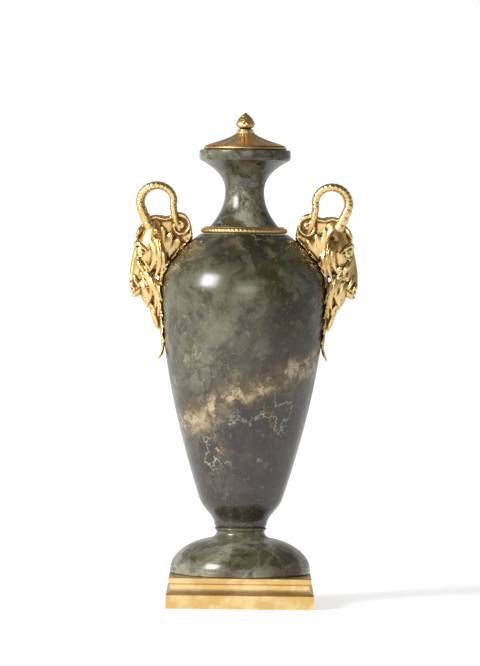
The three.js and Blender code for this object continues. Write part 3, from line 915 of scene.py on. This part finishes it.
def addHair(bm):
    rng = random.Random(11)
    limb(bm, moved(beardRoute), 24, 30)

    def waver(points, amount):
        return [[c + rng.uniform(-amount, amount) for c in p] for p in points]

    # the beard: long waving locks over its core, from the lowest row to the highest
    for row, (count, start, length) in enumerate(beardRows):
        for k in range(count):
            spread = 200 if row > 1 else 150
            angle = math.radians(-spread / 2 + spread * (k + 0.5) / count + rng.uniform(-5, 5))
            points = []
            for i in range(6):
                t = start + length * i / 5
                x, y, z, w, d = routeAt(beardRoute, max(0.0, min(1.0, t)))
                z += max(0.0, -t) * 40
                a = angle * (1 - 0.30 * i / 5) + 0.22 * math.sin(i * 1.5 + k * 2.1 + row)
                lift = 1.05 + 0.10 * math.sin(i * 1.1 + row)
                points.append([x + math.cos(a) * (d * lift + 0.4), y + math.sin(a) * (w * lift + 0.6), z])
            tuft(bm, moved(points), 2.3, 1.9, 18, 30, strands=5)
    for side in (-1, 1):
        for route in maneLocks:
            points = [[x, y * side, z] for x, y, z in route]
            tuft(bm, moved(waver(points, 0.4)), 3.0, 2.3, 22, 36, level=(1, 0, 0), strands=6)
        # short hair swept back over the cheek
        for k in range(7):
            x = 95.5 - 1.1 * (k % 4) - 0.6 * k
            y = 8.8 + 0.75 * (k % 4) + 0.3 * k
            z = 303 + 4.6 * (k % 4) - 1.5 * k
            points = [[x, y * side, z], [x - 3.0, (y + 1.6) * side, z - 3.0],
                      [x - 5.6, (y + 1.4) * side, z - 8.0]]
            tuft(bm, moved(waver(points, 0.3)), 1.6, 1.3, 10, 14)
    # the forelock: curls that fall between the horns and part over the brow
    for lean, drop in foreLocks:
        points = [[84.5, lean * 1.6, 350.2], [91.6, lean * 3.4, 346.4], [96.2, lean * 6.4, 340.6],
                  [98.0, lean * 7.0, drop + 2], [98.4, lean * 4.6, drop]]
        tuft(bm, moved(waver(points, 0.25)), 2.5, 2.0, 16, 26, strands=4)


bracketShape = {
    "thickness": 12.0,
    "bevel": 1.6,
    "scroll": (58.6, 345.6),  # middle of the scroll at the collar end
    "turns": 520,
    # the tip of each leaf on its sides, and how far it stands out
    "leaves": (
        (52.5, 330.5, 0.0), (58.5, 334.5, 0.5), (65.5, 339.5, 1.0), (73.0, 344.5, 1.3), (80.5, 346.5, 1.0),
    ),
}


def addBracket(bm):
    # the scrolled bracket from the collar to the crown, with a palmette on each side
    s = bracketShape
    thickness = s["thickness"]
    part = bmesh.new()
    outline = bend((46, 326), (47, 332), (48, 338), (50, 343), 5)[:-1]
    outline += bend((50, 343), (51, 350), (54, 355), (59.4, 356), 7)[:-1]
    outline += bend((59.4, 356), (64, 357), (70, 352), (76, 355), 7)[:-1]
    outline += bend((76, 355), (81, 357), (87, 355), (90, 352), 6)
    outline += [(86, 300), (60, 300)]
    corners = [part.verts.new((p[0] * mm, -thickness / 2 * mm, p[2] * mm))
               for p in moved([[x, 0, z] for x, z in outline])]
    face = part.faces.new(corners)
    bulk = bmesh.ops.extrude_face_region(part, geom=[face])["geom"]
    bmesh.ops.translate(part, verts=[v for v in bulk if isinstance(v, bmesh.types.BMVert)],
                        vec=(0, thickness * mm, 0))
    bmesh.ops.recalc_face_normals(part, faces=part.faces)
    bmesh.ops.bevel(part, geom=[e for e in part.edges if abs(e.verts[0].co.y - e.verts[1].co.y) < 1e-6],
                    offset=s["bevel"] * mm, affect="EDGES", segments=2, profile=0.5, material=-1)
    absorb(bm, part)
    middleX, middleZ = s["scroll"]
    for side in (-1, 1):
        # a raised scroll that runs in from the crown and winds up at the collar end
        scroll = [[88, 350.5], [81, 353.6], [74, 351.8], [67, 353.0]]
        for i in range(22):
            t = i / 21
            a = math.radians(78 + s["turns"] * t)
            r = 8.6 * (1 - t) ** 0.85 + 1.2
            scroll.append([middleX + r * math.cos(a), middleZ + r * math.sin(a)])
        ridge = [[x, side * (6.2 + 0.9 * i / 25), z, 1.35, 1.35] for i, (x, z) in enumerate(scroll)]
        limb(bm, moved(ridge), 12, 200, level=(0, 1, 0))
        ball(bm, moved([[middleX, side * 6.4, middleZ]])[0], (2.6, 1.9, 2.6))
        # broad shallow leaves from under the jaw up to the scroll
        for x, z, lift in s["leaves"]:
            rootX, rootZ = 73.5 + (x - 66) * 0.12, 308
            points = [[rootX, side * 5.6, rootZ],
                      [(rootX + x) / 2 + 2.0, side * (7.2 + lift), (rootZ + z) / 2 - 1.0],
                      [x + 1.5, side * (7.0 + lift), z - 3], [x, side * (7.2 + lift), z]]
            tuft(bm, moved(points), 4.2, 1.8, 18, 26, level=(1, 0, 0), blunt=0.25, strands=3)
    for k in range(3):
        # the leaf over the top, three ribs side by side
        y = (k - 1) * 4.4
        ribs = [[48.4, y, 336], [49.9, y, 346], [54.8, y * 1.1, 355.2], [62.0, y * 1.1, 356.8],
                [70.0, y, 353.8], [76.0, y * 0.7, 355.0]]
        tuft(bm, moved(ribs), 2.9, 1.6, 12, 40, blunt=0.4)


def strokeDepth(co, points, radius):
    # how far each vertex lies inside a soft stroke along a row of points, 0 to 1
    best = np.full(len(co), 1e9)
    for p, q in zip(points, points[1:]):
        p, q = np.array(p, float), np.array(q, float)
        way = q - p
        t = np.clip(((co - p) @ way) / max(way @ way, 1e-9), 0, 1)
        best = np.minimum(best, np.linalg.norm(co - p - t[:, None] * way, axis=1))
    f = np.clip(1 - best / radius, 0, 1)
    return f * f * (3 - 2 * f)


lipSplit = ([(104.2, 0, 292.0), (103.6, 0, 284.0)], 0.9, 0.55)
faceStrokes = [  # cut into both sides of the face: the points of each, its radius and its depth
    ([(104.0, 2.4, 291.6), (103.4, 4.4, 291.6), (102.6, 5.2, 290.0)], 1.5, 1.6),  # nostril
    ([(103.0, 0, 283.4), (101.4, 4.4, 283.6), (97.6, 6.8, 286.0), (93.0, 8.6, 291.0)], 1.5, 1.2),  # mouth
    ([(97.2, 12.2, 321.3), (98.4, 10.2, 321.3)], 1.1, 0.5),  # pupil
    ([(99.8, 5.4, 322.6), (99.6, 5.8, 317.6)], 1.9, 1.0),  # inner corner of the eye
    ([(91.4, 15.2, 320.0), (90.0, 14.0, 312.0)], 2.0, 0.7),  # outer corner of the eye
    ([(81, 13, 336.6), (78, 20, 333.4), (77, 27, 326.0)], 2.6, 0.7),  # hollow of the ear
]


def carve(mesh):
    # cuts the strokes into the cast surface
    co, normals = meshArrays(mesh)
    co = co / mm - np.array(shift)
    strokes = [lipSplit]
    for points, radius, amount in faceStrokes:
        for side in (-1, 1):
            strokes.append(([(x, side * y, z) for x, y, z in points], radius, amount))
    depth = np.zeros(len(co))
    for points, radius, amount in strokes:
        depth = np.maximum(depth, strokeDepth(co, points, radius) * amount)
    co -= normals * depth[:, None]
    return co + np.array(shift)


def clearMarble(co, gap=0.12):
    # lifts any vertex that is within the marble back out to just over its skin
    radius = np.hypot(co[:, 0], co[:, 1])
    limit = np.interp(co[:, 2], skinLine[:, 1], skinLine[:, 0]) + gap
    inside = np.where(co[:, 2] < skinLine[-1, 1], limit, 0)
    factor = np.where(radius < inside, inside / np.maximum(radius, 1e-6), 1)
    co[:, 0] *= factor
    co[:, 1] *= factor
    return co


castShape = {"voxel": 0.635, "softening": 0.5}


def makeHandles():
    bm = bmesh.new()
    addHead(bm)
    addHair(bm)
    addHorns(bm)
    addBracket(bm)
    acanthusLeaf(bm, acanthus["shoulder"])
    acanthusLeaf(bm, acanthus["side"])
    print("handle pieces laid out", len(bm.verts))
    mesh = bpy.data.meshes.new("cast")
    bm.to_mesh(mesh)
    bm.free()
    cast = bpy.data.objects.new("cast", mesh)
    bpy.context.scene.collection.objects.link(cast)
    remesh = cast.modifiers.new("remesh", "REMESH")
    remesh.mode = "VOXEL"
    remesh.voxel_size = castShape["voxel"] * mm
    soften = cast.modifiers.new("soften", "SMOOTH")
    soften.factor = castShape["softening"]
    soften.iterations = 1
    graph = bpy.context.evaluated_depsgraph_get()
    solid = bpy.data.meshes.new_from_object(cast.evaluated_get(graph))
    bpy.data.objects.remove(cast)
    solid.validate()
    co = clearMarble(carve(solid))
    low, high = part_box("handle_right")
    co = np.clip(co, np.array(low) / mm, np.array(high) / mm)
    print("handle faces", len(solid.polygons))
    for side, name in ((1, "right"), (-1, "left")):
        mesh = solid.copy()
        mesh.vertices.foreach_set("co", (co * [side * mm, mm, mm]).astype(np.float32).ravel())
        if side < 0:
            mesh.flip_normals()
        bm = bmesh.new()
        bm.from_mesh(mesh)
        nodes = ["handle_" + name]
        piece = newPiece(bm, "goatHandle." + name, castGilt, nodes, sharp=180)
        markHollows(piece.data, (2, 7))
        bpy.data.meshes.remove(mesh)
    bpy.data.meshes.remove(solid)


makeHandles()
print("handles made")


# Stage, lights and camera
studio = {
    "distance": 4.0,
    "elevation": 1.5,
    "aim": (-0.0027, 0.0, 0.2482),
    "roll": 0.7,
    "tall": 0.6108,  # how much of the upright is seen at that distance
    "floorRadius": 1.6,
    "floorShade": 0.86,
    "floorGlow": 0.61,
    "wallSeen": 1.05,  # brightness of the wall where the camera sees it
}
lamps = {
    "key": {"at": (-1.8, -1.4, 1.35), "size": (0.9, 1.1), "power": 72},
    "front": {"at": (0.2, -2.6, 0.6), "size": (1.2, 0.7), "power": 8},
}


def makeStage():
    bm = bmesh.new()
    bmesh.ops.create_circle(bm, cap_ends=True, segments=128, radius=studio["floorRadius"])
    mesh = bpy.data.meshes.new("floor")
    bm.to_mesh(mesh)
    bm.free()
    floor = bpy.data.objects.new("floor", mesh)
    bpy.context.scene.collection.objects.link(floor)
    floor.location.z = -0.0002  # just under the plinth
    material, tree, shader = newMaterial("floorPaper")
    shade = studio["floorShade"]
    shader.inputs["Base Color"].default_value = (shade, shade, shade, 1)
    shader.inputs["Emission Color"].default_value = (1, 1, 1, 1)
    shader.inputs["Emission Strength"].default_value = studio["floorGlow"]
    shader.inputs["Roughness"].default_value = 0.9
    shader.inputs["Specular IOR Level"].default_value = 0.1
    mesh.materials.append(material)


def makeLight(name, lamp, target=(0, 0, 0.2)):
    light = bpy.data.lights.new(name, "AREA")
    light.shape = "RECTANGLE"
    light.size, light.size_y = lamp["size"]
    light.energy = lamp["power"]
    stand = bpy.data.objects.new(name, light)
    bpy.context.scene.collection.objects.link(stand)
    stand.location = lamp["at"]
    stand.rotation_euler = (Vector(target) - Vector(lamp["at"])).to_track_quat("-Z", "Y").to_euler()


def makeWorld():
    world = bpy.data.worlds.new("studio")
    bpy.context.scene.world = world
    world.use_nodes = True
    tree = world.node_tree
    tree.nodes.clear()
    way = addNode(tree, "ShaderNodeTexCoord").outputs["Generated"]
    parts = addNode(tree, "ShaderNodeSeparateXYZ", {0: way}).outputs
    # a pale wall all round, brighter to the left, under a dark ceiling
    left = ramp(tree, parts[0], 0.7, -0.8)
    ceiling = ramp(tree, parts[2], 0.22, 0.62)
    front = ramp(tree, parts[1], 0.1, -0.75)
    level = mathNode(tree, "MULTIPLY_ADD", left, 0.42, 0.54)
    level = mathNode(tree, "MULTIPLY_ADD", front, -0.36, level)
    level = mathNode(tree, "MULTIPLY", level, mathNode(tree, "MULTIPLY_ADD", ceiling, -0.70, 1.0))
    seen = addNode(tree, "ShaderNodeLightPath").outputs["Is Camera Ray"]
    shown = {0: seen, 2: level, 3: studio["wallSeen"]}
    strength = addNode(tree, "ShaderNodeMix", shown, data_type="FLOAT").outputs[0]
    background = addNode(tree, "ShaderNodeBackground", {0: (1, 1, 1, 1), 1: strength})
    output = addNode(tree, "ShaderNodeOutputWorld")
    tree.links.new(background.outputs[0], output.inputs[0])


def makeCamera():
    s = studio
    camera = bpy.data.cameras.new("camera")
    camera.sensor_width = 36
    camera.lens = 36 * s["distance"] / s["tall"]
    camera.clip_end = 60
    view = bpy.data.objects.new("camera", camera)
    bpy.context.scene.collection.objects.link(view)
    rise = math.radians(s["elevation"])
    aim = Vector(s["aim"])
    view.location = aim + Vector((0, -math.cos(rise), math.sin(rise))) * s["distance"]
    face = (aim - view.location).to_track_quat("-Z", "Y").to_matrix().to_4x4()
    lean = Matrix.Rotation(math.radians(s["roll"]), 4, "Z")
    view.rotation_euler = (face @ lean).to_euler()
    bpy.context.scene.camera = view


makeStage()
makeWorld()
makeCamera()
for lampName, lamp in lamps.items():
    makeLight(lampName, lamp)
bpy.context.scene.view_settings.view_transform = "Standard"
print("stage set")
